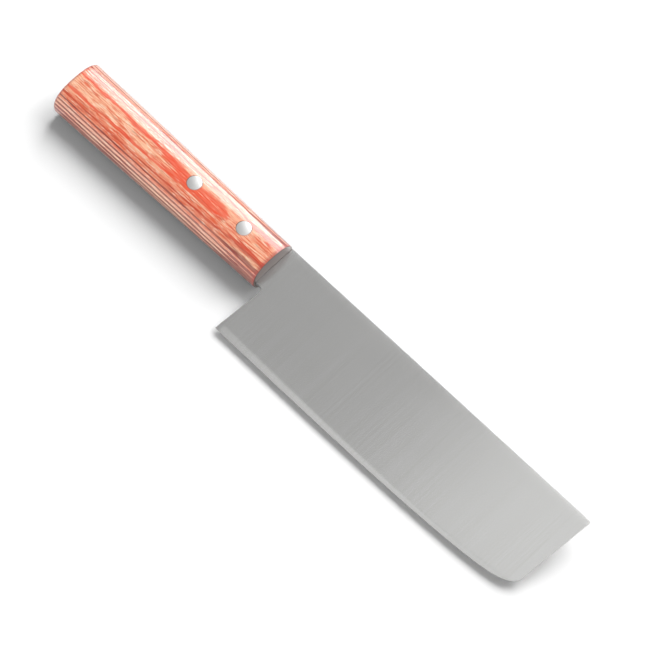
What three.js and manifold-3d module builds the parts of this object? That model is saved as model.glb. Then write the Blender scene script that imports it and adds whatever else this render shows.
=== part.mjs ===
// Kitchen knife: a Japanese vegetable knife with a tall straight blade and a riveted laminated-wood handle.
// The blade ends in a narrow tang that sits in a blind slot of the one-piece handle. Two rivets hold it
// there. Each rivet is a solid pin pressed into a tube, with a domed head on both sides of the handle.
//
// Millimetres. +X runs from the handle to the tip, +Y from the cutting edge to the spine, +Z up out of the
// blade's face. While the pieces are made, the handle's front face is at x = 0, the spine is at y = 0 and
// the blade's middle is at z = 0. The last lines move the whole knife to its own frame.
import * as THREE from "three";
import { mergeVertices } from "three/addons/utils/BufferGeometryUtils.js";
import Module from "manifold-3d";

const wasm = await Module();
wasm.setup();

// Blade outline, seen from above
const bladeReach = 167.6; // handle front to the tip corner
const tipRadius = 0.8; // rounding of the tip corner
const frontLean = THREE.MathUtils.degToRad(4.1); // the front end leans back towards the edge
const frontStraight = 36; // spine to where the front end turns into the toe
const edgeDepth = 46.9; // spine to the lowest point of the edge
const edgeLowRun = 52; // heel corner to that lowest point
const toeRun = 16; // tip corner back to where the edge turns into the toe
const toeRise = 3.3; // how much higher than the lowest point the edge is there
const riseRun = 38; // tip corner back to where the rise to the toe is drawn from
const heelRun = 2.7; // handle front to the heel corner
const heelRise = 0.2; // how much higher than the lowest point the heel corner is
const heelLean = THREE.MathUtils.degToRad(4); // the heel leans forward towards the neck
const neckDepth = 21.2; // spine to the underside of the neck
const choilRadius = 2.4; // inside corner between the neck and the heel

// Blade thickness and grinding, the same on both faces
const bladeThickness = 2; // at the neck and along the tang
const tipThickness = 1.7; // of the spine at the tip
const heelEdgeThickness = 0.62; // of the ground faces where they would meet the heel's edge
const plungeRun = 5.6; // handle front to where the ground faces start
const plungeLength = 8; // slope that the wheel leaves where it starts, for each millimetre of its depth
const sharpenAngle = THREE.MathUtils.degToRad(4.75); // between the edge's bevel and the blade's middle
const edgeLand = 0.1; // flat left along the very edge
const spineEase = 0.3; // chamfer along the spine
const heelEaseWidth = 2.4; // thinned strip along the heel, where it meets the edge
const heelEaseAngle = THREE.MathUtils.degToRad(5);
const frontEaseWidth = 4; // thinned strip along the front end
const frontEaseAngle = THREE.MathUtils.degToRad(1.5);

// Tang
const tangTop = 5.4; // spine to the upper side of the tang
const tangRootWidth = 11;
const tangEndWidth = 8.6;
const tangCorner = 2; // rounding of its two end corners
const tangBeyond = 11.8; // rear rivet to the end of the tang

// Handle
const handleLength = 118.1;
const handleFrontWidth = 22.2;
const handleFrontThickness = 18.3;
const handleButtWidth = 26.2;
const handleButtThickness = 20;
const handleAxis = 11.1; // spine to the handle's centre line at its front
const handleDroop = 0.5; // how much lower the centre line is at the butt
const sectionPower = 2.4; // 2 is an ellipse, and more is squarer
const frontRimEase = 0.4; // chamfer round the front face
const buttBulge = 1.3; // the butt's middle stands this far out from its rim
const buttRadius = 1.7; // rounding round the butt
const slotClearance = 0.2; // all round the tang
const slotSpare = 2; // beyond the end of the tang

// Rivets
const rivetSetback = 17.7; // handle front to the front rivet
const rivetPitch = 28.8; // front rivet to rear rivet
const rivetDepth = 10.2; // spine to both rivets
const rivetHeadRadius = 3.3;
const rivetHeadSeat = 2.4; // from the crest of the handle down to the underside of the head
const rivetRimDrop = 0.15; // from the crest down to the rim of the head
const rivetDome = 0.5; // height of the dome above its rim
const tubeRadius = 2.1;
const tubeWall = 0.6;
const tubeShort = 1; // the tube ends this far below the other half's head
const pinShort = 1; // the pin ends this far above the bottom of the tube's bore
const pinClearance = 0.05; // between the pin and the tube
const rivetClearance = 0.1; // between a rivet and what it passes through

// Fineness
const curveSteps = 18; // of each curve of the outline
const roundSteps = 48; // round a rivet or a hole
const sectionSteps = 72; // round the handle
const cornerSteps = 6; // round the butt's corner, the dome of a rivet and the rings of the butt
const overrun = 6; // how far a cutting block stands out of what it cuts
const weld = 1e-4; // points closer than this are one

// Colours
const steelColour = 0xb4b3b0;
const woodColour = 0xd8644a;
const rivetColour = 0xd2d2d0;

// A geometry as a solid for cutting. A mirrored block comes out facing in, and is turned round here.
function solid(geometry) {
  const bare = geometry.clone();
  bare.deleteAttribute("normal");
  bare.deleteAttribute("uv");
  const welded = mergeVertices(bare, weld);
  const vertProperties = new Float32Array(welded.attributes.position.array);
  const triVerts = new Uint32Array(welded.index.array);
  const made = new wasm.Manifold(new wasm.Mesh({ numProp: 3, vertProperties, triVerts }));
  if (made.volume() > 0) return made;
  return new wasm.Manifold(new wasm.Mesh({ numProp: 3, vertProperties, triVerts: triVerts.reverse() }));
}

// A cut solid as a geometry again.
function geometryOf(body) {
  const cut = body.getMesh();
  const geometry = new THREE.BufferGeometry();
  geometry.setAttribute("position", new THREE.BufferAttribute(cut.vertProperties, 3));
  geometry.setIndex(new THREE.BufferAttribute(cut.triVerts, 1));
  geometry.computeVertexNormals();
  return geometry;
}

function middleOf(ring) {
  const sum = ring.reduce((total, p) => total.add(p), new THREE.Vector3());
  return sum.divideScalar(ring.length);
}

// A closed skin over rings of points, all with the same number of points, with a fan over each end.
// The last fan can be drawn to a point that stands out of its ring.
function loft(rings, lastMiddle = middleOf(rings.at(-1))) {
  const count = rings[0].length;
  const points = [...rings.flat(), middleOf(rings[0]), lastMiddle];
  const firstMiddle = rings.length * count;
  const index = [];
  for (let k = 0; k < count; k++) {
    const next = (k + 1) % count;
    for (let i = 0; i + 1 < rings.length; i++) {
      const a = i * count;
      const b = a + count;
      index.push(a + k, a + next, b + next, a + k, b + next, b + k);
    }
    const last = firstMiddle - count;
    index.push(firstMiddle, next, k, firstMiddle + 1, last + k, last + next);
  }
  return new THREE.BufferGeometry().setFromPoints(points).setIndex(index);
}

// A round bar along Z, for holes.
function bar(radius, x, y, bottom, top) {
  const round = new THREE.CylinderGeometry(radius, radius, top - bottom, roundSteps);
  return solid(round.rotateX(Math.PI / 2).translate(x, y, (top + bottom) / 2));
}

// Corners and lines of the blade that more than one feature uses
const tip = new THREE.Vector2(bladeReach, 0);
const heel = new THREE.Vector2(heelRun, heelRise - edgeDepth);
const frontLine = (y) => tip.x + y * Math.tan(frontLean);
const heelLine = (y) => heel.x + (y - heel.y) * Math.tan(heelLean);
const choilTop = new THREE.Vector2(heelLine(-neckDepth) - choilRadius, -neckDepth);
const choilBottom = new THREE.Vector2(heelLine(-neckDepth - choilRadius), -neckDepth - choilRadius);
const toeEnd = new THREE.Vector2(frontLine(-frontStraight), -frontStraight);
const rivetPlaces = { front: -rivetSetback, rear: -rivetSetback - rivetPitch };
const tangLength = rivetSetback + rivetPitch + tangBeyond;

// The cutting edge from the heel to the front end: a long flat curve, a rise, and a rounded toe.
function cuttingEdge() {
  const low = new THREE.Vector2(heel.x + edgeLowRun, -edgeDepth);
  const rise = new THREE.Vector2(tip.x - riseRun, -edgeDepth);
  const toe = new THREE.Vector2(tip.x - toeRun, toeRise - edgeDepth);
  const slope = toe.clone().sub(rise);
  // The toe's curve is drawn towards the corner where the edge and the front end would meet.
  const reach = (frontLine(toe.y) - toe.x) / (slope.x - slope.y * Math.tan(frontLean));
  const corner = toe.clone().addScaledVector(slope, reach);
  const edge = new THREE.Path();
  edge.moveTo(heel.x, heel.y);
  edge.quadraticCurveTo((heel.x + low.x) / 2, low.y, low.x, low.y);
  edge.quadraticCurveTo(rise.x, rise.y, toe.x, toe.y);
  edge.quadraticCurveTo(corner.x, corner.y, toeEnd.x, toeEnd.y);
  return edge.getPoints(curveSteps);
}

// Outline of the whole blade with its neck and tang, and the two rivet holes in the tang.
function bladeOutline() {
  const tangBottom = tangTop + tangRootWidth;
  const tangTip = tangTop + tangEndWidth;
  const shape = new THREE.Shape();
  shape.moveTo(0, -neckDepth);
  shape.lineTo(choilTop.x, choilTop.y);
  shape.quadraticCurveTo(heelLine(-neckDepth), -neckDepth, choilBottom.x, choilBottom.y);
  for (const p of cuttingEdge()) shape.lineTo(p.x, p.y);
  shape.lineTo(frontLine(-tipRadius), -tipRadius);
  shape.quadraticCurveTo(tip.x, tip.y, tip.x - tipRadius, 0);
  shape.lineTo(0, 0);
  shape.lineTo(0, -tangTop);
  shape.lineTo(tangCorner - tangLength, -tangTop);
  shape.quadraticCurveTo(-tangLength, -tangTop, -tangLength, -tangTop - tangCorner);
  shape.lineTo(-tangLength, tangCorner - tangTip);
  shape.quadraticCurveTo(-tangLength, -tangTip, tangCorner - tangLength, -tangTip);
  shape.lineTo(0, -tangBottom);
  for (const x of Object.values(rivetPlaces)) {
    const hole = new THREE.Path();
    hole.absarc(x, -rivetDepth, tubeRadius + rivetClearance, 0, 2 * Math.PI);
    shape.holes.push(hole);
  }
  return shape;
}

// Height of the ground face above the blade's middle. It falls from spine to edge and from neck to tip.
const fallToEdge = (bladeThickness - heelEdgeThickness) / 2 / edgeDepth;
const fallToTip = (bladeThickness - tipThickness) / 2 / (bladeReach - plungeRun);
const groundHeight = (x, y) => bladeThickness / 2 + fallToEdge * y - fallToTip * (x - plungeRun);

// Height of a strip that leaves the ground face at a line between two points and falls to its left.
function fallingFrom(start, end, angle) {
  const along = end.clone().sub(start).normalize();
  const away = (x, y) => along.x * (y - start.y) - along.y * (x - start.x);
  return (x, y) => groundHeight(x, y) - Math.tan(angle) * away(x, y);
}

// A block that takes off the steel beyond a sloping plane, inside a plan outline, on one side of the blade.
// Its top can be shifted back, so that its end wall is a slope.
function grindingBlock(plan, height, side, topShift = 0) {
  const block = new THREE.ExtrudeGeometry(new THREE.Shape(plan), { depth: 1, bevelEnabled: false });
  const at = block.attributes.position;
  for (let i = 0; i < at.count; i++) {
    const isTop = at.getZ(i) > 0;
    const z = isTop ? bladeThickness : height(at.getX(i), at.getY(i));
    at.setXYZ(i, at.getX(i) - (isTop ? topShift : 0), at.getY(i), side * z);
  }
  return solid(block);
}

// The main ground face. It starts on a slope in front of the neck and runs out over the heel, edge and tip.
function faceGrind(side) {
  const plan = [
    new THREE.Vector2(plungeRun, overrun),
    new THREE.Vector2(plungeRun, -neckDepth + choilRadius),
    new THREE.Vector2(choilTop.x, -neckDepth - choilRadius / 2),
    new THREE.Vector2(-overrun, -neckDepth - choilRadius),
    new THREE.Vector2(-overrun, -edgeDepth - overrun),
    new THREE.Vector2(tip.x + overrun, -edgeDepth - overrun),
    new THREE.Vector2(tip.x + overrun, overrun),
  ];
  return grindingBlock(plan, groundHeight, side, plungeLength * bladeThickness / 2);
}

// The strip along the heel, from nothing at the choil to its full width at the edge.
function heelGrind(side) {
  const foot = new THREE.Vector2(heel.x + heelEaseWidth, heel.y);
  const end = foot.clone().lerp(choilBottom, -overrun / edgeDepth);
  const plan = [
    choilBottom,
    new THREE.Vector2(-overrun, choilBottom.y),
    new THREE.Vector2(-overrun, end.y),
    end,
  ];
  return grindingBlock(plan, fallingFrom(end, choilBottom, heelEaseAngle), side);
}

// The strip along the front end.
function frontGrind(side) {
  const top = new THREE.Vector2(frontLine(overrun) - frontEaseWidth, overrun);
  const low = -edgeDepth - overrun;
  const bottom = new THREE.Vector2(frontLine(low) - frontEaseWidth, low);
  const plan = [
    top,
    bottom,
    new THREE.Vector2(tip.x + overrun, low),
    new THREE.Vector2(tip.x + overrun, overrun),
  ];
  return grindingBlock(plan, fallingFrom(top, bottom, frontEaseAngle), side);
}

// The chamfer along the spine.
function spineGrind(side) {
  const plan = [
    new THREE.Vector2(-overrun, -spineEase),
    new THREE.Vector2(tip.x + overrun, -spineEase),
    new THREE.Vector2(tip.x + overrun, spineEase),
    new THREE.Vector2(-overrun, spineEase),
  ];
  return grindingBlock(plan, (x, y) => bladeThickness / 2 - spineEase - y, side);
}

// The sharpened bevel: a sloping strip carried along the edge. It is wider where the ground face is thicker,
// and it fades out where the toe meets the front end.
function sharpening(side) {
  const edge = cuttingEdge();
  const slope = Math.tan(sharpenAngle);
  const outward = edge.map((p, i) => {
    const along = edge[Math.min(i + 1, edge.length - 1)].clone().sub(edge[Math.max(i - 1, 0)]).normalize();
    return new THREE.Vector2(along.y, -along.x);
  });
  const ring = (p, out) => {
    const reach = groundHeight(p.x, p.y) / (slope - fallToEdge);
    const at = (away, z) => new THREE.Vector3(p.x + out.x * away, p.y + out.y * away, side * z);
    return [
      at(overrun, edgeLand / 2 - overrun * slope),
      at(-reach, edgeLand / 2 + reach * slope),
      at(-reach, bladeThickness),
      at(overrun, bladeThickness),
    ];
  };
  // The strip starts before the heel and leaves the toe on a slant, so that it fades out there.
  const before = edge[0].clone().sub(edge[1]).setLength(overrun).add(edge[0]);
  const lastOut = outward.at(-1);
  const onward = new THREE.Vector2(-lastOut.y, lastOut.x).setLength(overrun);
  const after = edge.at(-1).clone().addScaledVector(lastOut, overrun / 2).add(onward);
  const path = [before, ...edge, after];
  const outs = [outward[0], ...outward, lastOut];
  return solid(loft(path.map((p, i) => ring(p, outs[i]))));
}

function blade() {
  const flat = new THREE.ExtrudeGeometry(bladeOutline(), {
    depth: bladeThickness,
    bevelEnabled: false,
    curveSegments: curveSteps,
  });
  let body = solid(flat.translate(0, 0, -bladeThickness / 2));
  for (const side of [1, -1]) {
    for (const grind of [faceGrind, heelGrind, frontGrind, spineGrind, sharpening]) {
      body = body.subtract(grind(side));
    }
  }
  return geometryOf(body);
}

// Half of the handle's width and thickness, and its centre, at a place along it.
function handleAt(x) {
  const share = -x / handleLength;
  return {
    halfWidth: THREE.MathUtils.lerp(handleFrontWidth, handleButtWidth, share) / 2,
    halfThickness: THREE.MathUtils.lerp(handleFrontThickness, handleButtThickness, share) / 2,
    centre: -handleAxis - handleDroop * share,
  };
}

// One ring of the handle: a rounded oblong drawn in by an inset and then scaled.
function handleRing(x, inset = 0, scale = 1) {
  const { halfWidth, halfThickness, centre } = handleAt(x);
  const rounded = (v) => Math.sign(v) * Math.abs(v) ** (2 / sectionPower);
  return Array.from({ length: sectionSteps }, (_, k) => {
    const turn = (2 * Math.PI * k) / sectionSteps;
    const y = centre + scale * (halfWidth - inset) * rounded(Math.cos(turn));
    return new THREE.Vector3(x, y, scale * (halfThickness - inset) * rounded(Math.sin(turn)));
  });
}

// The handle's outside: an eased front face, a tapering grip, and a rounded butt that bulges in the middle.
function handleBody() {
  const rim = buttBulge - handleLength;
  const rings = [handleRing(0, frontRimEase), handleRing(-frontRimEase)];
  for (let i = 0; i <= cornerSteps; i++) {
    const turn = (Math.PI / 2) * (i / cornerSteps);
    rings.push(handleRing(rim + buttRadius * (1 - Math.sin(turn)), buttRadius * (1 - Math.cos(turn))));
  }
  for (let i = cornerSteps - 1; i > 0; i--) {
    const scale = i / cornerSteps;
    rings.push(handleRing(buttBulge * scale ** 2 - handleLength, buttRadius, scale));
  }
  return solid(loft(rings, new THREE.Vector3(-handleLength, handleAt(-handleLength).centre, 0)));
}

function handle() {
  const slotHeight = bladeThickness + 2 * slotClearance;
  const slotWidth = tangRootWidth + 2 * slotClearance;
  const slotDepth = tangLength + slotSpare;
  const slot = new THREE.BoxGeometry(slotDepth + overrun, slotWidth, slotHeight);
  slot.translate((overrun - slotDepth) / 2, -tangTop - tangRootWidth / 2, 0);
  let body = handleBody().subtract(solid(slot));
  for (const x of Object.values(rivetPlaces)) {
    const crest = handleAt(x).halfThickness;
    const seat = crest - rivetHeadSeat;
    body = body.subtract(bar(tubeRadius + rivetClearance, x, -rivetDepth, -crest, crest));
    body = body.subtract(bar(rivetHeadRadius + rivetClearance, x, -rivetDepth, seat, crest + overrun));
    body = body.subtract(bar(rivetHeadRadius + rivetClearance, x, -rivetDepth, -crest - overrun, -seat));
  }
  return geometryOf(body);
}

// The outer side of a rivet's head, from its underside at the shank to the top of its dome.
function headProfile(x, shankRadius) {
  const crest = handleAt(x).halfThickness;
  const rim = crest - rivetRimDrop;
  const points = [new THREE.Vector2(shankRadius, crest - rivetHeadSeat)];
  points.push(new THREE.Vector2(rivetHeadRadius, crest - rivetHeadSeat));
  for (let i = cornerSteps; i >= 0; i--) {
    const share = i / cornerSteps;
    points.push(new THREE.Vector2(rivetHeadRadius * share, rim + rivetDome * (1 - share ** 2)));
  }
  return points;
}

// A profile of radius and height turned round the rivet's own axis.
function turned(profile, x) {
  return new THREE.LatheGeometry(profile, roundSteps).rotateX(Math.PI / 2).translate(x, -rivetDepth, 0);
}

const boreRadius = tubeRadius - tubeWall;
const boreBottom = (x) => rivetHeadSeat - handleAt(x).halfThickness;

// The half with the solid pin. Its head is on the upper side.
function rivetPin(x) {
  const pinRadius = boreRadius - pinClearance;
  const end = boreBottom(x) + pinShort;
  const pin = [new THREE.Vector2(0, end), new THREE.Vector2(pinRadius, end)];
  return turned([...pin, ...headProfile(x, pinRadius)], x);
}

// The half with the tube. Its head is on the lower side, so its profile is the other one upside down.
function rivetTube(x) {
  const end = -boreBottom(x) - tubeShort;
  const head = headProfile(x, tubeRadius).map((p) => new THREE.Vector2(p.x, -p.y));
  const tube = [
    new THREE.Vector2(tubeRadius, end),
    new THREE.Vector2(boreRadius, end),
    new THREE.Vector2(boreRadius, boreBottom(x)),
    new THREE.Vector2(0, boreBottom(x)),
  ];
  return turned([...head.reverse(), ...tube], x);
}

const steel = () => new THREE.MeshStandardMaterial({ color: steelColour, roughness: 0.35, metalness: 1 });
const wood = () => new THREE.MeshStandardMaterial({ color: woodColour, roughness: 0.3, metalness: 0 });
const silver = () => new THREE.MeshStandardMaterial({ color: rivetColour, roughness: 0.3, metalness: 1 });

const knife = new THREE.Group();
knife.name = "kitchen_knife";

function add(name, geometry, material) {
  const piece = new THREE.Mesh(geometry, material);
  piece.name = name;
  knife.add(piece);
}

add("blade", blade(), steel());
add("handle", handle(), wood());
for (const [place, x] of Object.entries(rivetPlaces)) {
  add(place + "_rivet_pin", rivetPin(x), silver());
  add(place + "_rivet_tube", rivetTube(x), silver());
}

// The knife's own frame has its origin under the middle of its box.
const box = new THREE.Box3().setFromObject(knife);
const middle = box.getCenter(new THREE.Vector3());
knife.position.set(-middle.x, -middle.y, -box.min.z);

export default knife;
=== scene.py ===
import math

import bmesh
import bpy
from mathutils import Matrix, Vector, kdtree
from mathutils.geometry import delaunay_2d_cdt


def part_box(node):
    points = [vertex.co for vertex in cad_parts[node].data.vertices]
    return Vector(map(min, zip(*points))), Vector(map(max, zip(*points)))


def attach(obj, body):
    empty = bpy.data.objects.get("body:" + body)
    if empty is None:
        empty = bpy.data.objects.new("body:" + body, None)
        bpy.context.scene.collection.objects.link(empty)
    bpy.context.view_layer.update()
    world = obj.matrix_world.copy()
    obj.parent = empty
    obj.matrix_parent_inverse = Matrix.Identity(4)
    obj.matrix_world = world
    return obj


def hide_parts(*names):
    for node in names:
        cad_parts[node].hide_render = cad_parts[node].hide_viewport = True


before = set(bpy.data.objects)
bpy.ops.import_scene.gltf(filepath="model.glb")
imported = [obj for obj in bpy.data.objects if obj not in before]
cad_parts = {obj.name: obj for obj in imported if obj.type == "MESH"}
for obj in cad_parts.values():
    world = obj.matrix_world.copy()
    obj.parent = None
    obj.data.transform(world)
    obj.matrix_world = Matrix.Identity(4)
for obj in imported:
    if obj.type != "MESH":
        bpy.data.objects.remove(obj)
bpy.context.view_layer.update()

# Places in the frame that several parts use, in metres. The pieces are made with the handle's front face
# at x = 0, the spine at y = 0 and the blade's middle at z = 0, and the datum moves them into the frame.
blade_low, blade_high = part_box("blade")
handle_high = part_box("handle")[1]
datum = Vector((handle_high.x, blade_high.y, (blade_low.z + blade_high.z) / 2))

# Blade outline, seen from above
blade_reach = 0.1676  # handle front to the tip corner
tip_radius = 0.0008
front_lean = math.radians(4.1)  # the front end leans back towards the edge
front_straight = 0.036  # spine to where the front end turns into the toe
edge_depth = 0.0469  # spine to the lowest point of the edge
edge_low_run = 0.052  # heel corner to that lowest point
toe_run = 0.016  # tip corner back to where the edge turns into the toe
toe_rise = 0.0033  # how much higher than the lowest point the edge is there
rise_run = 0.038  # tip corner back to where the rise to the toe is drawn from
heel_run = 0.0027  # handle front to the heel corner
heel_rise = 0.0002  # how much higher than the lowest point the heel corner is
heel_lean = math.radians(4)  # the heel leans forward towards the neck
neck_depth = 0.0212  # spine to the underside of the neck
choil_radius = 0.0024  # inside corner between the neck and the heel
tang_top = 0.0054  # spine to the upper side of the tang
tang_root_width = 0.011
tang_end_width = 0.0086
tang_length = 0.0583

# Blade thickness and grinding, the same on both faces
blade_thickness = 0.002  # at the neck and along the tang
tip_thickness = 0.0017  # of the spine at the tip
heel_edge_thickness = 0.00062  # of the ground faces where they would meet the heel's edge
plunge_run = 0.0056  # handle front to where the ground face falls away from the neck
plunge_angle = math.radians(35)  # of that fall
plunge_bend = 0.016  # spine to where that line starts to sweep back
plunge_sweep = 0.0016  # how far it has come back at the choil
plunge_depth = neck_depth + 1.5 * choil_radius  # spine to where its lines are sure to have met the heel
ground_fall = (blade_thickness - heel_edge_thickness) / 2 / edge_depth  # of each face, spine to edge
tip_fall = (blade_thickness - tip_thickness) / 2 / (blade_reach - plunge_run)  # and neck to tip
sharpen_angle = math.radians(4.75)  # between the edge's bevel and the blade's middle
edge_land = 0.0001  # thickness left at the very edge
edge_blend = 0.00004  # softness where the sharpened bevel meets the ground face
toe_fade = 0.014  # last stretch of the edge, where the bevel fades out
toe_land = 0.0006  # thickness left at the end of that stretch
spine_chamfer = 0.0001
spine_ease_width = 0.003  # soft round along the spine
spine_ease_angle = math.radians(3.5)
heel_ease_width = 0.0024  # along the heel, where it meets the edge
heel_ease_angle = math.radians(5)
front_ease_width = 0.004  # and along the front end
front_ease_angle = math.radians(1.5)

# Handle
handle_length = 0.1169
handle_front_width = 0.0222
handle_front_thickness = 0.0183
handle_butt_width = 0.0262
handle_butt_thickness = 0.020
handle_axis = 0.0111  # spine to the handle's centre line at its front
handle_droop = 0.0005  # how much lower the centre line is at the butt
section_power = 2.4  # 2 is an ellipse, and more is squarer
front_rim_ease = 0.0004  # rounding round the front face
butt_bulge = 0.0004  # the butt's middle stands this far out from its rim
butt_radius = 0.001  # rounding round the butt
slot_clearance = 0.0002  # all round the tang
slot_spare = 0.002  # beyond the end of the tang
core_inset = 0.0006  # how far inside the handle's skin the black core is

# Rivets
rivet_setback = 0.0177  # handle front to the front rivet
rivet_pitch = 0.0288  # front rivet to rear rivet
rivet_depth = 0.0102  # spine to both rivets
rivet_head_radius = 0.0033
rivet_head_seat = 0.0024  # from the crest of the handle down to the underside of the head
rivet_rim_drop = 0.00015  # from the crest down to the rim of the head
rivet_rim_round = 0.0002
rivet_dome = 0.0003  # height of the dome above its rim
rivet_clearance = 0.0001  # between a rivet and the handle
shank_radius = 0.0021

# Fineness of the meshes
face_columns = 140  # columns of points along the blade
face_rows = 64  # and rows from its spine to its edge
crowding = 0.85  # how much closer together they lie near the borders, from 0 to 1
outline_edge_steps = 40  # of each of the cutting edge's three curves in the outline
column_edge_steps = 200  # where the columns of points look up the edge's depth
bevel_edge_steps = 600  # where the bevel measures its distance from the edge
choil_steps = 10
heel_steps = 30
front_steps = 40
tip_steps = 8
plunge_steps = 70
section_steps = 144  # round the handle and its slot
grip_steps = 60  # rings along the handle
corner_steps = 8  # rings of the front rim, of the butt's corner and of the butt
rivet_steps = 96  # round a rivet
dome_steps = 10
weld = 1e-7  # points of the blade closer than this are one
crease = math.radians(35)  # faces that meet at more than this keep a sharp line
blade_crease = math.radians(12)

# Camera
camera_azimuth = math.radians(45.2)
camera_elevation = math.radians(66)
camera_distance = 1.5135
camera_lens = 209  # in millimetres, as the sensor is
camera_sensor = 36
camera_reach = 20  # how far it sees
camera_target = datum + Vector((0.03163, -0.01424, 0))

# Floor and world
floor_roll = math.radians(13)  # the knife lies with its edge lower by this angle
floor_size = 8.0
floor_colour = (0.97, 0.97, 0.97, 1)
floor_bounce = (0.4, 0.4, 0.4, 1)  # its colour as it lights other things
floor_near = 0.35  # how far out it is a plain lit floor
floor_far = 0.9  # and from where it is as bright as the walls
wall_strength = 0.9  # of the world at the horizon
wall_top = 0.1  # how high a direction points, of 1, where the walls end
ceiling_strength = 0.5  # of the world overhead
ceiling_low = 0.6  # how high a direction points where the ceiling starts
ambient_colour = (0.125, 0.125, 0.125, 1)  # of the dim light from all round on what isn't shiny
black = (0, 0, 0, 1)
white = (1, 1, 1, 1)

# Wood: the pressed block of plies that the handle is cut from, in millimetres, the unit of the textures
mm = 1000  # millimetres in a metre
ply = 0.70  # thickness of the outermost plies
ply_growth = 0.08  # how much thicker they are for each millimetre of depth
crown_line = 9.72  # height of the glue line that shows on the crown, at the butt
ply_start = -110.0  # from where the plies lean and close up towards the front
ply_lean = 0.0052  # how much they rise for each millimetre of that way
ply_level = 9.8  # the height at which they don't close up
ply_fan = 0.0029  # how much they do, for each millimetre of that way and below that height
tilt_axis = -11.3  # the line in the handle that the plies are tilted round
ply_tilt = -0.02  # their rise for each millimetre towards the spine
dip_run = (-72, -44)  # stretch in which they sink, ahead of the rear rivet
dip_depth = 0.15
swell_run = (-32, -14)  # stretch in which the outer plies sink once more, at the front rivet
swell_heights = (8.0, 9.2)
swell_depth = 0.4
drift_reach = 0.10  # how far the plies stray in long bends
ripple_reach = 0.17  # and in short ones
feather_run = (-70, -40)  # stretch in which the grain starts to feather the plies
feather_reach = 0.25
line_width = 0.05  # least share of a ply that is glue line, on each side
line_growth = 0.03  # how much more for each millimetre of depth
line_chance = 0.1  # and how much more by chance
line_run = (-24, -8)  # stretch in which the glue lines double their width
darker_depths = (0.2, 1.6)  # depths between which their glue darkens
shoulder_start = (0.1, 0.5)  # depths between which the shoulder's orange comes in
shoulder_end = (2.2, 1.2)  # and between which it goes
shoulder_run = (-6, -34)  # stretch in which it comes in behind the front face
paler_depths = (1.8, 3.0)  # depths between which the plies turn paler
rim_run = (-2.4, -0.5)  # reddened rim behind the front face
butt_run = (-114.9, -116.4)  # reddened rim of the butt
end_grain_shade_run = (-0.35, -0.1)  # end grain of the front face, painted grey-brown: partly its own dull colour, partly painted shade and a painted reflection of the steel


def srgb(red, green, blue):
    """A colour as seen, from 0 to 255, as the linear colour that shaders use."""
    def linear(c):
        c /= 255
        return c / 12.92 if c <= 0.04045 else ((c + 0.055) / 1.055) ** 2.4
    return linear(red), linear(green), linear(blue), 1


# Colours of the pieces
steel_dull = srgb(200, 200, 198)
steel_bright = srgb(203, 203, 202)
rivet_colour = srgb(206, 206, 205)
pale = srgb(247, 190, 154)
cream = srgb(252, 226, 200)
salmon = srgb(222, 100, 62)
orange = srgb(230, 92, 50)
glue_red = srgb(232, 74, 36)
dark_red = srgb(136, 34, 26)
rim_red = srgb(178, 62, 50)
butt_red = srgb(150, 50, 48)
# grey-brown of the front face's end grain: its own dull colour, darkened with painted shade and a painted
# reflection of the grey steel
end_grain_shade_grey = srgb(116, 94, 88)


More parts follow.
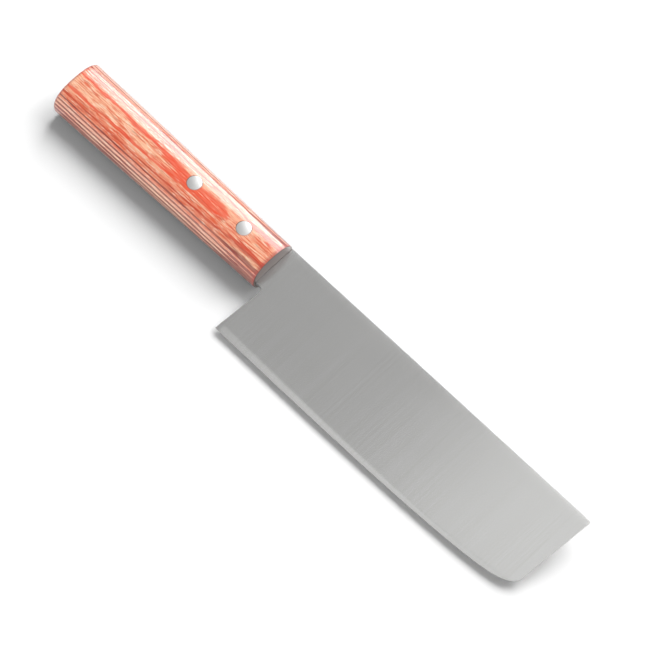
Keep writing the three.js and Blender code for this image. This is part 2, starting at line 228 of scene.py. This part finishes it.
class Paint:
    """A material's node tree, with short calls that make nodes and give back their outputs."""

    def __init__(self, name):
        self.material = bpy.data.materials.new(name)
        self.material.use_nodes = True
        self.tree = self.material.node_tree
        self.shader = self.tree.nodes["Principled BSDF"]
        place = self.tree.nodes.new("ShaderNodeTexCoord").outputs["Object"]
        self.place = self.vector("SCALE", self.vector("SUBTRACT", place, datum), Scale=mm)
        apart = self.node("ShaderNodeSeparateXYZ", Vector=self.place)
        self.x, self.y, self.z = apart.outputs

    def feed(self, socket, value):
        """Links an output to a socket, or sets a plain value on it."""
        if isinstance(value, bpy.types.NodeSocket):
            self.tree.links.new(value, socket)
        else:
            socket.default_value = value

    def node(self, kind, settings=None, **inputs):
        """A node of a kind, with its settings, and its inputs by name."""
        made = self.tree.nodes.new(kind)
        for key, value in (settings or {}).items():
            setattr(made, key, value)
        for key, value in inputs.items():
            self.feed(made.inputs[key.replace("_", " ")], value)
        return made

    def math(self, operation, *values):
        made = self.node("ShaderNodeMath", {"operation": operation})
        for socket, value in zip(made.inputs, values):
            self.feed(socket, value)
        return made.outputs[0]

    def vector(self, operation, *values, output="Vector", **named):
        made = self.node("ShaderNodeVectorMath", {"operation": operation}, **named)
        for socket, value in zip(made.inputs, values):
            self.feed(socket, value)
        return made.outputs[output]

    def noise(self, waves, detail=2.0, roughness=0.5, shift=(0, 0, 0)):
        """Noise from 0 to 1, with its own number of waves a millimetre along each axis."""
        where = self.vector("MULTIPLY_ADD", self.place, waves, shift)
        made = self.node("ShaderNodeTexNoise", Vector=where, Scale=1.0, Detail=detail, Roughness=roughness)
        return made.outputs[0]

    def between(self, value, start, end):
        """A smooth rise from 0 at the start to 1 at the end, which may be the lower of the two."""
        kind = {"interpolation_type": "SMOOTHSTEP", "clamp": True}
        return self.node("ShaderNodeMapRange", kind, Value=value, From_Min=start, From_Max=end).outputs[0]

    def sway(self, noise, reach):
        """Noise turned into a shift from -reach to reach."""
        return self.math("MULTIPLY", self.math("SUBTRACT", noise, 0.5), 2 * reach)

    def rest(self, share):
        """What a share leaves of 1."""
        return self.math("SUBTRACT", 1.0, share)

    def total(self, *values):
        sum_so_far = values[0]
        for value in values[1:]:
            sum_so_far = self.math("ADD", sum_so_far, value)
        return sum_so_far

    def product(self, *values):
        product_so_far = values[0]
        for value in values[1:]:
            product_so_far = self.math("MULTIPLY", product_so_far, value)
        return product_so_far

    def mix(self, share, first, second):
        """A colour between two. Of the node's many inputs, these three are the ones for colours."""
        made = self.node("ShaderNodeMix", {"data_type": "RGBA"})
        for socket, value in zip((made.inputs[0], made.inputs[6], made.inputs[7]), (share, first, second)):
            self.feed(socket, value)
        return made.outputs[2]

    def bump(self, height, strength, distance):
        return self.node("ShaderNodeBump", Height=height, Strength=strength, Distance=distance).outputs[0]

    def finish(self, **inputs):
        """Feeds the shader and gives back the material."""
        for key, value in inputs.items():
            self.feed(self.shader.inputs[key.replace("_", " ")], value)
        return self.material


def steel():
    """Satin steel with fine grinding lines from the spine to the edge."""
    p = Paint("ground_steel")
    lines = p.noise(waves=(0.9, 0.006, 0.006), detail=2, roughness=0.6)
    clouds = p.noise(waves=(0.03, 0.05, 0.05), detail=3)
    return p.finish(
        Base_Color=p.mix(p.between(lines, 0.3, 0.7), steel_dull, steel_bright),
        Metallic=1.0,
        Roughness=p.total(0.18, p.product(lines, 0.015), p.product(clouds, 0.04)),
        Normal=p.bump(lines, strength=0.005, distance=0.00002),
    )


def rivet_metal():
    """Soft-polished rivet steel."""
    p = Paint("rivet_metal")
    lines = p.noise(waves=(3.0, 3.0, 0.2), detail=3)
    rough = p.total(0.36, p.product(lines, 0.12))
    return p.finish(Base_Color=rivet_colour, Metallic=1.0, Roughness=rough)


def block_height(p, grain):
    """How high in the pressed block a place is. The plies lean with the taper, lie closer together towards
    the front, sink ahead of the rear rivet and at the front rivet, and are never quite flat."""
    height = p.math("ABSOLUTE", p.z)
    way = p.math("SUBTRACT", p.x, ply_start)
    lean = p.product(way, ply_lean)
    fan = p.product(way, p.math("SUBTRACT", ply_level, height), ply_fan)
    tilt = p.product(p.math("SUBTRACT", p.y, tilt_axis), ply_tilt)
    block = p.total(height, lean, fan, tilt)
    dip = p.product(p.between(p.x, *dip_run), -dip_depth)
    swell = p.product(p.between(p.x, *swell_run), p.between(block, *swell_heights), -swell_depth)
    drift = p.sway(p.noise(waves=(0.02, 0.09, 0.05), detail=1), drift_reach)
    waviness = p.noise(waves=(0.10, 0.85, 0.35), detail=5, roughness=0.64, shift=(7, 3, 1))
    ripple = p.sway(waviness, ripple_reach)
    feather = p.product(p.sway(grain, feather_reach), p.between(p.x, *feather_run))
    return p.total(block, dip, swell, drift, ripple, feather)


def ply_colour(p, streak, number, inside):
    """Salmon wood with pale streaks and cream flecks. Some plies are more orange, and so is the shoulder of
    the handle. Deeper plies are paler."""
    tone = p.node("ShaderNodeTexWhiteNoise", {"noise_dimensions": "1D"}, W=number).outputs[0]
    shoulder = p.product(p.between(inside, *shoulder_start), p.between(inside, *shoulder_end))
    shoulder = p.product(shoulder, p.between(p.x, *shoulder_run))
    fleck = p.noise(waves=(0.2, 1.9, 1.9), detail=4, roughness=0.62, shift=(3, 9, 2))
    wood = p.mix(streak, salmon, pale)
    wood = p.mix(p.product(p.between(tone, 0.45, 0.9), 0.6), wood, orange)
    wood = p.mix(p.product(shoulder, 0.6), wood, orange)
    wood = p.mix(p.product(p.between(fleck, 0.52, 0.64), 0.7), wood, cream)
    return p.mix(p.product(p.between(inside, *paler_depths), 0.35), wood, cream)


def glue_lines(p, wood, streak, part, inside):
    """Red lines of glue between the plies, darker and wider further down in the block."""
    uneven = p.noise(waves=(0.06, 0.2, 0.2), shift=(2, 4, 6))
    width = p.total(line_width, p.product(inside, line_growth), p.product(uneven, line_chance))
    width = p.product(width, p.total(1.0, p.between(p.x, *line_run)))
    near = p.math("MINIMUM", part, p.rest(part))
    line_share = p.rest(p.between(p.math("DIVIDE", near, width), 0.75, 1.4))
    line_share = p.product(line_share, p.rest(p.product(streak, 0.2)))
    return p.mix(line_share, wood, p.mix(p.between(inside, *darker_depths), glue_red, dark_red))


def laminated_wood():
    """Thin dyed plies, glued flat and cut through by the round of the handle, under lacquer."""
    p = Paint("laminated_wood")
    grain = p.noise(waves=(0.13, 2.0, 2.0), detail=6, roughness=0.68)
    patch = p.noise(waves=(0.05, 0.14, 0.14), detail=2, shift=(5, 1, 8))
    pores = p.noise(waves=(0.14, 1.8, 1.8), detail=4, roughness=0.65, shift=(1, 5, 7))
    streak = p.between(p.total(grain, p.sway(patch, reach=0.2)), 0.40, 0.55)

    # Which ply a place is in, and how far through it
    depth = p.math("SUBTRACT", crown_line, block_height(p, grain))
    inside = p.math("MAXIMUM", depth, 0.0)
    layer = p.math("DIVIDE", depth, p.total(ply, p.product(inside, ply_growth)))

    wood = ply_colour(p, streak, p.math("FLOOR", layer), inside)
    wood = glue_lines(p, wood, streak, p.math("FRACT", layer), inside)
    wood = p.mix(p.product(p.between(pores, 0.56, 0.68), 0.4), wood, dark_red)
    wood = p.mix(p.product(p.between(p.x, *rim_run), 0.75), wood, rim_red)
    wood = p.mix(p.product(p.between(p.x, *butt_run), 0.75), wood, butt_red)
    # the front face is painted grey-brown: its end grain, with painted shade and a painted reflection of
    # the steel in it
    wood = p.mix(p.between(p.x, *end_grain_shade_run), wood, end_grain_shade_grey)
    return p.finish(Base_Color=wood, Roughness=0.3, Coat_Weight=1.0, Coat_Roughness=0.16)


def floor_paper():
    """White paper that passes into the walls further out, and is clear when seen from below."""
    p = Paint("floor_paper")
    rays = p.node("ShaderNodeLightPath").outputs
    seen = p.total(rays["Is Camera Ray"], rays["Is Glossy Ray"], rays["Is Transmission Ray"])
    away = p.vector("LENGTH", p.place, output="Value")
    far = p.product(p.math("MINIMUM", seen, 1.0), p.between(away, floor_near * mm, floor_far * mm))
    paper = p.mix(rays["Is Diffuse Ray"], floor_colour, floor_bounce)
    below = p.node("ShaderNodeNewGeometry").outputs["Backfacing"]
    return p.finish(
        Base_Color=p.mix(far, paper, black),
        Roughness=1.0,
        Specular_IOR_Level=0.0,
        Emission_Color=white,
        Emission_Strength=p.product(far, wall_strength),
        Alpha=p.rest(below),
    )


def linked(name, data):
    """An object of the scene that holds a mesh, a lamp or a camera."""
    obj = bpy.data.objects.new(name, data)
    bpy.context.scene.collection.objects.link(obj)
    return obj


def mesh_object(name, fill, *values, material=None):
    """An object whose mesh is filled by a function, which gets the empty mesh and the values."""
    made = bmesh.new()
    fill(made, *values)
    bmesh.ops.recalc_face_normals(made, faces=made.faces)
    mesh = bpy.data.meshes.new(name)
    made.to_mesh(mesh)
    made.free()
    if material:
        mesh.materials.append(material)
    return linked(name, mesh)


def smooth(obj, sharp=crease):
    """Smooth shading where faces meet at less than the sharp angle."""
    obj.data.shade_smooth()
    obj.data.set_sharp_from_angle(angle=sharp)


def loft(made, rings):
    """A skin over rings of points, closed at both ends."""
    loops = [[made.verts.new(point) for point in ring] for ring in rings]
    for one, two in zip(loops, loops[1:]):
        for k in range(len(one)):
            after = (k + 1) % len(one)
            made.faces.new((one[k], one[after], two[after], two[k]))
    made.faces.new(loops[0])
    made.faces.new(loops[-1])


def spread(steps):
    """Shares from 0 to 1 that lie closer together near both ends."""
    shares = [i / steps for i in range(steps + 1)]
    return [s - crowding * math.sin(2 * math.pi * s) / (2 * math.pi) for s in shares]


def turns(steps):
    """Angles all round a circle."""
    return [2 * math.pi * k / steps for k in range(steps)]


def line(start, end, steps):
    """Points on a straight line, without its start."""
    return [start.lerp(end, share) for share in spread(steps)[1:]]


def curve(start, pull, end, steps):
    """Points on a curve that bends towards the pull point, without its start."""
    shares = [(i + 1) / steps for i in range(steps)]
    return [start.lerp(pull, s).lerp(pull.lerp(end, s), s) for s in shares]


def front_line(y):
    """Where the front end is at a place below the spine."""
    return blade_reach + y * math.tan(front_lean)


def heel_line(y):
    """Where the heel is at a place below the spine."""
    return heel_run + (y + edge_depth - heel_rise) * math.tan(heel_lean)


def cutting_edge(steps):
    """The edge from the heel to the front end: a long flat curve, a rise, and a rounded toe."""
    heel = Vector((heel_run, heel_rise - edge_depth))
    low = Vector((heel_run + edge_low_run, -edge_depth))
    rise = Vector((blade_reach - rise_run, -edge_depth))
    toe = Vector((blade_reach - toe_run, toe_rise - edge_depth))
    slope = toe - rise
    reach = (front_line(toe.y) - toe.x) / (slope.x - slope.y * math.tan(front_lean))
    toe_end = Vector((front_line(-front_straight), -front_straight))
    edge = [heel]
    edge += curve(heel, Vector(((heel.x + low.x) / 2, low.y)), low, steps)
    edge += curve(low, rise, toe, steps)
    edge += curve(toe, toe + slope * reach, toe_end, steps)
    return edge


def blade_outline():
    """The blade, its neck and its tang, seen from above."""
    tip = Vector((blade_reach, 0))
    tip_low = Vector((front_line(-tip_radius), -tip_radius))
    tip_back = Vector((blade_reach - tip_radius, 0))
    neck = Vector((0, -neck_depth))
    choil_corner = Vector((heel_line(-neck_depth), -neck_depth))
    choil_top = choil_corner - Vector((choil_radius, 0))
    choil_bottom = Vector((heel_line(-neck_depth - choil_radius), -neck_depth - choil_radius))
    edge = cutting_edge(outline_edge_steps)
    spine = [Vector((blade_reach * s, 0)) for s in spread(face_columns)]
    outline = [neck, choil_top]
    outline += curve(choil_top, choil_corner, choil_bottom, choil_steps)
    outline += line(choil_bottom, edge[0], heel_steps)
    outline += edge[1:]
    outline += line(edge[-1], tip_low, front_steps)
    outline += curve(tip_low, tip, tip_back, tip_steps)
    outline += [point for point in reversed(spine) if point.x < tip_back.x]
    outline.append(Vector((0, -tang_top)))
    outline.append(Vector((-tang_length, -tang_top)))
    outline.append(Vector((-tang_length, -tang_top - tang_end_width)))
    outline.append(Vector((0, -tang_top - tang_root_width)))
    return outline


def face_points():
    """Places on the blade's face, closer together near its borders."""
    edge = cutting_edge(column_edge_steps)
    places = []
    for s in spread(face_columns)[1:-1]:
        foot = edge[0].x + (edge[-1].x - edge[0].x) * s
        low = min(edge, key=lambda point: abs(point.x - foot))
        for t in spread(face_rows)[1:-1]:
            y = low.y * t
            left = 0.0 if y > -neck_depth else heel_line(y)
            places.append(Vector((left + (front_line(y) - left) * s, y)))
    return places


def plunge_line(y):
    """The top of the plunge: straight across the neck, then swept back into the choil."""
    swept = max(-y - plunge_bend, 0) / (neck_depth + choil_radius - plunge_bend)
    return plunge_run - plunge_sweep * swept ** 2


def plunge_lines():
    """Lines of places along the top and the foot of the plunge, as far as the choil."""
    depths = [-plunge_depth * k / plunge_steps for k in range(1, plunge_steps + 1)]
    top = [Vector((plunge_line(y), y)) for y in depths]
    foot = [Vector((plunge_line(y) - ground_fall * y / math.tan(plunge_angle), y)) for y in depths]
    return [[q for q in side if q.y > -neck_depth or q.x > heel_line(q.y)] for side in (top, foot)]


def eased(distance, width, angle):
    """How far a face has fallen near a border: a round that starts at the width and ends at the angle."""
    inside = max(width - distance, 0)
    return math.tan(angle) * inside ** 2 / (2 * width)


def face_height(place, edge_tree, toe_end):
    """Half of the blade's thickness: ground faces, a plunge at the neck, a bevel, and eased borders."""
    x, y = place
    if x < 0:
        return blade_thickness / 2
    past_neck = max(x - plunge_line(y), 0)
    ground = blade_thickness / 2 + ground_fall * y - tip_fall * past_neck
    ground = max(ground, blade_thickness / 2 - math.tan(plunge_angle) * past_neck)
    distance = edge_tree.find(place.to_3d())[2]
    fade = max(0, 1 - (toe_end - place).length / toe_fade)
    land = edge_land + (toe_land - edge_land) * fade
    bevel = land / 2 + math.tan(sharpen_angle) * distance
    overlap = max(edge_blend - abs(ground - bevel), 0)
    height = min(ground, bevel) - overlap ** 2 / (4 * edge_blend)
    height -= max(0, spine_chamfer + y)
    height -= eased(-y, spine_ease_width, spine_ease_angle)
    height -= eased(front_line(y) - x, front_ease_width, front_ease_angle)
    heel_share = (-neck_depth - choil_radius - y) / (edge_depth - neck_depth - choil_radius)
    if heel_share > 0:
        height -= eased(x - heel_line(y), heel_ease_width * heel_share, heel_ease_angle)
    return max(height, edge_land / 2)


def edge_search():
    """A tree that finds the nearest place of the cutting edge, and the edge's last place."""
    edge = cutting_edge(bevel_edge_steps)
    tree = kdtree.KDTree(len(edge))
    for i, point in enumerate(edge):
        tree.insert(point.to_3d(), i)
    tree.balance()
    return tree, edge[-1]


def blade_mesh(made):
    """Two faces over the outline, each raised by half of the thickness, and the sides between them."""
    outline = blade_outline()
    borders = [(i, (i + 1) % len(outline)) for i in range(len(outline))]
    places = outline + face_points()
    for side in plunge_lines():
        first = len(places)
        places += side
        borders += [(i, i + 1) for i in range(first, len(places) - 1)]
    only_inside = 1
    flat, _, triangles, *_ = delaunay_2d_cdt(places, borders, [], only_inside, weld)
    edge_tree, toe_end = edge_search()
    heights = [face_height(place, edge_tree, toe_end) for place in flat]
    upper = [made.verts.new(datum + Vector((q.x, q.y, h))) for q, h in zip(flat, heights)]
    lower = [made.verts.new(datum + Vector((q.x, q.y, -h))) for q, h in zip(flat, heights)]
    sides = set()
    for a, b, c in triangles:
        made.faces.new((upper[a], upper[b], upper[c]))
        made.faces.new((lower[c], lower[b], lower[a]))
        sides.update(((a, b), (b, c), (c, a)))
    for a, b in sides:
        if (b, a) not in sides:
            made.faces.new((upper[b], upper[a], lower[a], lower[b]))


def handle_at(x):
    """Half of the handle's width and thickness, and its centre, at a place behind the front face."""
    share = -x / handle_length
    half_width = (handle_front_width + (handle_butt_width - handle_front_width) * share) / 2
    half_thickness = (handle_front_thickness + (handle_butt_thickness - handle_front_thickness) * share) / 2
    return half_width, half_thickness, -handle_axis - handle_droop * share


def handle_ring(x, inset=0.0, scale=1.0):
    """The handle's section, between an ellipse and a rectangle."""
    half_width, half_thickness, centre = handle_at(x)
    ring = []
    for turn in turns(section_steps):
        c, s = math.cos(turn), math.sin(turn)
        y = math.copysign(abs(c) ** (2 / section_power), c) * (half_width - inset) * scale
        z = math.copysign(abs(s) ** (2 / section_power), s) * (half_thickness - inset) * scale
        ring.append(datum + Vector((x, centre + y, z)))
    return ring


def slot_ring(x):
    """The slot's outline, with one point for each point of the handle's ring."""
    half_width = tang_root_width / 2 + slot_clearance
    half_height = blade_thickness / 2 + slot_clearance
    ring = []
    for turn in turns(section_steps):
        c, s = math.cos(turn), math.sin(turn)
        reach = min(half_width / max(abs(c), 1e-6), half_height / max(abs(s), 1e-6))
        ring.append(datum + Vector((x, c * reach - tang_top - tang_root_width / 2, s * reach)))
    return ring


def handle_mesh(made):
    """A skin from the end of the slot out to the front face, along the grip and over the butt."""
    rim = butt_bulge - handle_length
    grip_end = rim + butt_radius
    corner = [math.pi / 2 * i / corner_steps for i in range(corner_steps + 1)]
    rings = [slot_ring(-tang_length - slot_spare), slot_ring(0)]
    for turn in corner:
        x = -front_rim_ease * (1 - math.cos(turn))
        rings.append(handle_ring(x, inset=front_rim_ease * (1 - math.sin(turn))))
    for i in range(1, grip_steps):
        rings.append(handle_ring(-front_rim_ease + (grip_end + front_rim_ease) * i / grip_steps))
    for turn in corner:
        x = rim + butt_radius * (1 - math.sin(turn))
        rings.append(handle_ring(x, inset=butt_radius * (1 - math.cos(turn))))
    for i in range(corner_steps - 1, 0, -1):
        scale = i / corner_steps
        rings.append(handle_ring(butt_bulge * scale ** 2 - handle_length, butt_radius, scale))
    loft(made, rings)


def turned(made, profile, x, side):
    """A profile of radius and height turned round a rivet's axis, up for side 1 and down for side -1."""
    centre = datum + Vector((x, -rivet_depth, 0))
    rings = []
    for radius, height in profile:
        ring = []
        for turn in turns(rivet_steps):
            ring.append(centre + Vector((radius * math.cos(turn), radius * math.sin(turn), side * height)))
        rings.append(ring)
    loft(made, rings)


def rivet_profile(x):
    """Half a rivet: its shank, and its head with a low dome."""
    crest = handle_at(x)[1]
    seat = crest - rivet_head_seat
    rim = crest - rivet_rim_drop
    dome_radius = rivet_head_radius - rivet_rim_round / 2
    profile = [(shank_radius, 0.0), (shank_radius, seat), (rivet_head_radius, seat)]
    profile.append((rivet_head_radius, rim - rivet_rim_round))
    for i in range(dome_steps, 0, -1):
        share = i / dome_steps
        profile.append((dome_radius * share, rim + rivet_dome * (1 - share ** 2)))
    return profile


def hole_profile(x):
    """A rivet's counterbore, from its seat to well above the crest."""
    crest = handle_at(x)[1]
    radius = rivet_head_radius + rivet_clearance
    return [(radius, crest - rivet_head_seat - rivet_clearance), (radius, crest + rivet_head_seat)]


def rivet_halves():
    """Each half of each rivet: its two names, its place along the handle, and its side, up or down."""
    for place, x in (("front", -rivet_setback), ("rear", -rivet_setback - rivet_pitch)):
        for half, side in (("pin", 1), ("tube", -1)):
            yield place, half, x, side


def cut(obj, cutters):
    """Takes the cutters' shapes out of an object and throws the cutters away."""
    for cutter in cutters:
        hole = obj.modifiers.new("hole", "BOOLEAN")
        hole.operation = "DIFFERENCE"
        hole.solver = "EXACT"
        hole.object = cutter
    shape = obj.evaluated_get(bpy.context.evaluated_depsgraph_get())
    whole = obj.data
    obj.data = bpy.data.meshes.new_from_object(shape)
    obj.modifiers.clear()
    bpy.data.meshes.remove(whole)
    for cutter in cutters:
        bpy.data.meshes.remove(cutter.data)


def build_blade(material):
    blade = mesh_object("blade_steel", blade_mesh, material=material)
    smooth(blade, sharp=blade_crease)
    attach(blade, "root")
    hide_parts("blade")


def build_handle(material):
    handle = mesh_object("handle_wood", handle_mesh, material=material)
    cutters = []
    for _, _, x, side in rivet_halves():
        cutters.append(mesh_object("cutter", turned, hole_profile(x), x, side))
    cut(handle, cutters)
    smooth(handle)
    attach(handle, "root")
    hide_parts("handle")
    handle.visible_diffuse = False


def build_handle_core():
    """A black core in the handle. It stands in for the red wood in light that is thrown back to the floor,
    so that the shadow is grey, and it shows nowhere else."""
    rings = [handle_ring(x, inset=core_inset) for x in (-core_inset, core_inset - handle_length)]
    core = mesh_object("handle_core", loft, rings, material=Paint("handle_core").finish(Base_Color=black))
    core.visible_camera = False
    core.visible_glossy = False
    core.visible_transmission = False
    core.visible_shadow = False


def build_rivets(material):
    for place, half, x, side in rivet_halves():
        rivet = mesh_object(f"{place}_{half}_head", turned, rivet_profile(x), x, side, material=material)
        smooth(rivet)
        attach(rivet, "root")
        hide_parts(f"{place}_rivet_{half}")


def build_floor():
    """A plane under the knife's lowest point, tilted as the knife is rolled."""
    up = Vector((0, math.sin(floor_roll), math.cos(floor_roll)))
    lowest = min(up.dot(v.co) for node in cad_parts.values() for v in node.data.vertices)
    half = floor_size / 2
    corners = [(-half, -half, 0), (half, -half, 0), (half, half, 0), (-half, half, 0)]
    mesh = bpy.data.meshes.new("floor")
    mesh.from_pydata(corners, [], [(0, 1, 2, 3)])
    mesh.materials.append(floor_paper())
    floor = linked("floor", mesh)
    floor.matrix_world = Matrix.Translation(up * lowest) @ up.to_track_quat("Z", "Y").to_matrix().to_4x4()


def build_world():
    """Pale walls and a darker ceiling for what mirrors them, and a dim light from all round."""
    world = bpy.data.worlds.new("studio")
    world.use_nodes = True
    tree = world.node_tree
    place = tree.nodes.new("ShaderNodeTexCoord")
    apart = tree.nodes.new("ShaderNodeSeparateXYZ")
    rays = tree.nodes.new("ShaderNodeLightPath")
    room = tree.nodes.new("ShaderNodeMapRange")
    room.inputs["From Min"].default_value = wall_top
    room.inputs["From Max"].default_value = ceiling_low
    room.inputs["To Min"].default_value = wall_strength
    room.inputs["To Max"].default_value = ceiling_strength
    shown = tree.nodes.new("ShaderNodeMix")
    shown.data_type = "RGBA"
    shown.inputs["B"].default_value = ambient_colour
    tree.links.new(place.outputs["Generated"], apart.inputs["Vector"])
    tree.links.new(apart.outputs["Z"], room.inputs["Value"])
    tree.links.new(rays.outputs["Is Diffuse Ray"], shown.inputs["Factor"])
    tree.links.new(room.outputs["Result"], shown.inputs["A"])
    tree.links.new(shown.outputs["Result"], tree.nodes["Background"].inputs["Color"])
    bpy.context.scene.world = world


def soft_light(name, azimuth, elevation, distance, size, radiance, target=(0, 0, 0), turn=0, mirrored=True):
    """A soft box in a direction from its target, in degrees, with the azimuth from +X towards +Y."""
    a, e = math.radians(azimuth), math.radians(elevation)
    direction = Vector((math.cos(a) * math.cos(e), math.sin(a) * math.cos(e), math.sin(e)))
    width, height = size
    lamp = bpy.data.lights.new(name, "AREA")
    lamp.shape = "RECTANGLE"
    lamp.size = width
    lamp.size_y = height
    lamp.energy = radiance * math.pi * width * height
    box = linked(name, lamp)
    place = Matrix.Translation(Vector(target) + direction * distance)
    facing = direction.to_track_quat("Z", "Y").to_matrix().to_4x4()
    box.matrix_world = place @ facing @ Matrix.Rotation(math.radians(turn), 4, "Z")
    box.visible_camera = False
    box.visible_glossy = mirrored


def build_light():
    """A wide key and a narrow strip behind the spine, a card in front that fills the shadow side, and two
    dim panels overhead for the tip and the heel's edge."""
    key = {"azimuth": 80, "elevation": 36, "distance": 2.5}
    strip = {"azimuth": 114, "elevation": 29, "distance": 2.5}
    card = {"azimuth": -100, "elevation": 20, "distance": 1.0}
    overhead = {"azimuth": 0, "elevation": 90, "distance": 0.6}
    soft_light("key", **key, size=(2.2, 2.4), radiance=4.3)
    soft_light("strip", **strip, size=(0.4, 1.9), radiance=8.0, turn=-16)
    soft_light("card", **card, size=(1.6, 0.6), radiance=4.2, mirrored=False)
    soft_light("tip_panel", **overhead, size=(0.2, 0.35), radiance=0.48, target=(0.05, 0.25, 0), turn=-12)
    soft_light("edge_panel", **overhead, size=(0.3, 0.16), radiance=0.6, target=(-0.06, -0.02, 0))


def build_camera():
    """A long lens at the photo's angle."""
    lens = bpy.data.cameras.new("camera")
    lens.lens = camera_lens
    lens.sensor_width = camera_sensor
    lens.clip_end = camera_reach
    across = math.cos(camera_elevation)
    back = Vector((
        math.sin(camera_azimuth) * across,
        -math.cos(camera_azimuth) * across,
        math.sin(camera_elevation),
    ))
    camera = linked("camera", lens)
    camera.location = camera_target + back * camera_distance
    camera.rotation_euler = back.to_track_quat("Z", "Y").to_euler()
    bpy.context.scene.camera = camera


build_blade(steel())
build_handle(laminated_wood())
build_handle_core()
build_rivets(rivet_metal())
build_floor()
build_world()
build_light()
build_camera()
bpy.context.scene.view_settings.view_transform = "Standard"
